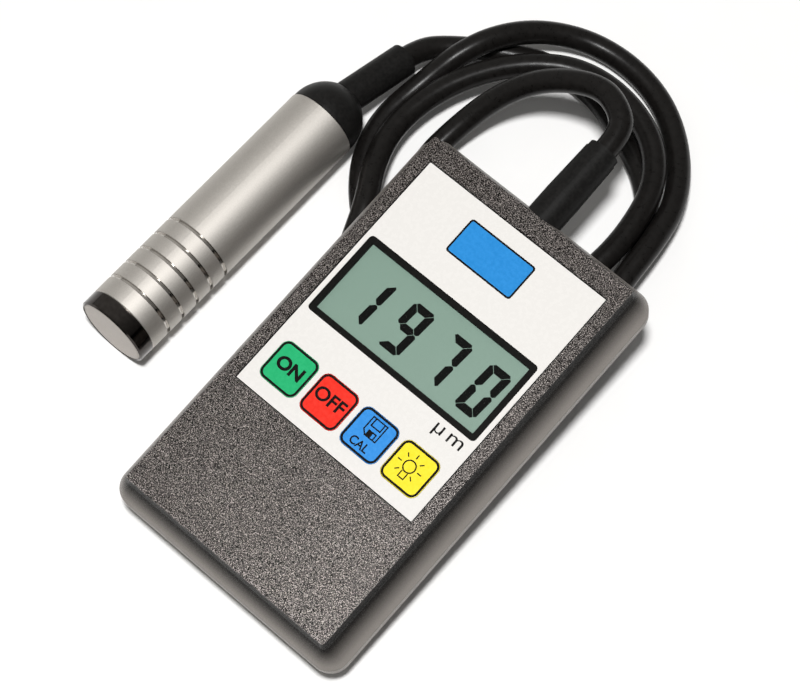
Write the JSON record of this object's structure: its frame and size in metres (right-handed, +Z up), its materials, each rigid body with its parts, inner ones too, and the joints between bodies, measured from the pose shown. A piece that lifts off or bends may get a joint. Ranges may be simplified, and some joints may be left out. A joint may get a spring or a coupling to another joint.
{
  "type": "coating thickness gauge",
  "caption": "Hand-held coating thickness gauge: flat case with display and press keys, joined by a looped cable to a round grooved metal probe that lies beside it.",
  "frame": {"origin": "on the surface the gauge lies on, below the middle of its box without the free cable", "axes": "+Z up, +Y along the case towards its cable end, +X across the case to the right seen from the face"},
  "size_m": [0.1022, 0.1653, 0.0344],
  "materials": {
    "case_plastic": "textured",
    "screw_steel": "satin",
    "label_film": "satin",
    "window_clear": "clear",
    "display_cell": "glossy",
    "holder_white": "matte",
    "strip_rubber": "matte",
    "light_guide": "satin",
    "board_green": "satin",
    "chip_black": "matte",
    "socket_white": "matte",
    "switch_black": "matte",
    "key_green": "satin",
    "key_red": "satin",
    "key_blue": "satin",
    "key_yellow": "satin",
    "plunger_black": "matte",
    "battery_jacket": "satin",
    "snap_black": "matte",
    "lead_red": "satin",
    "sleeve_rubber": "matte",
    "cable_jacket": "satin",
    "tie_nylon": "satin",
    "lead_white": "satin",
    "cap_rubber": "satin",
    "probe_aluminium": "satin",
    "ring_polished": "polished",
    "face_metal": "matte",
    "bobbin_plastic": "matte",
    "coil_copper": "satin",
    "core_iron": "matte"
  },
  "bodies": {
    "gauge": {"front_shell": "case_plastic", "rear_shell": "case_plastic", "case_screws": "screw_steel", "front_label": "label_film", "display_window": "window_clear", "lcd_glass": "display_cell", "lcd_holder": "holder_white", "zebra_strips": "strip_rubber", "backlight_panel": "light_guide", "main_board": "board_green", "board_screws": "screw_steel", "controller_chip": "chip_black", "lead_connector": "socket_white", "probe_connector": "socket_white", "tact_switches": "switch_black", "battery": "battery_jacket", "battery_snap": "snap_black", "battery_leads": "lead_red", "case_cable_sleeve": "sleeve_rubber", "cable_case_end": "cable_jacket", "cable_tie": "tie_nylon", "probe_leads": "lead_white", "probe_cable": "cable_jacket", "cable_probe_end": "cable_jacket", "probe_cable_sleeve": "sleeve_rubber", "probe_rear_cap": "cap_rubber", "probe_tube": "probe_aluminium", "probe_tip_ring": "ring_polished", "probe_face": "face_metal", "probe_bobbin": "bobbin_plastic", "probe_coil": "coil_copper", "probe_core": "core_iron", "coil_leads": "lead_white"},
    "on_key": {"key_on": "key_green", "plunger_on": "plunger_black"},
    "off_key": {"key_off": "key_red", "plunger_off": "plunger_black"},
    "calibrate_key": {"key_calibrate": "key_blue", "plunger_calibrate": "plunger_black"},
    "light_key": {"key_light": "key_yellow", "plunger_light": "plunger_black"},
    "door": {"battery_door": "case_plastic"}
  },
  "joints": [
    {"name": "on_press", "type": "slide", "parent": "gauge", "child": "on_key", "axis": [0, 0.1219, -0.9925], "range_m": [0, 0.0003], "stiffness_N_per_m": 500},
    {"name": "off_press", "type": "slide", "parent": "gauge", "child": "off_key", "axis": [0, 0.1219, -0.9925], "range_m": [0, 0.0003], "stiffness_N_per_m": 500},
    {"name": "calibrate_press", "type": "slide", "parent": "gauge", "child": "calibrate_key", "axis": [0, 0.1219, -0.9925], "range_m": [0, 0.0003], "stiffness_N_per_m": 500},
    {"name": "light_press", "type": "slide", "parent": "gauge", "child": "light_key", "axis": [0, 0.1219, -0.9925], "range_m": [0, 0.0003], "stiffness_N_per_m": 500},
    {"name": "door_slide", "type": "slide", "parent": "gauge", "child": "door", "axis": [0, -0.9925, -0.1219], "range_m": [0, 0.03]}
  ]
}
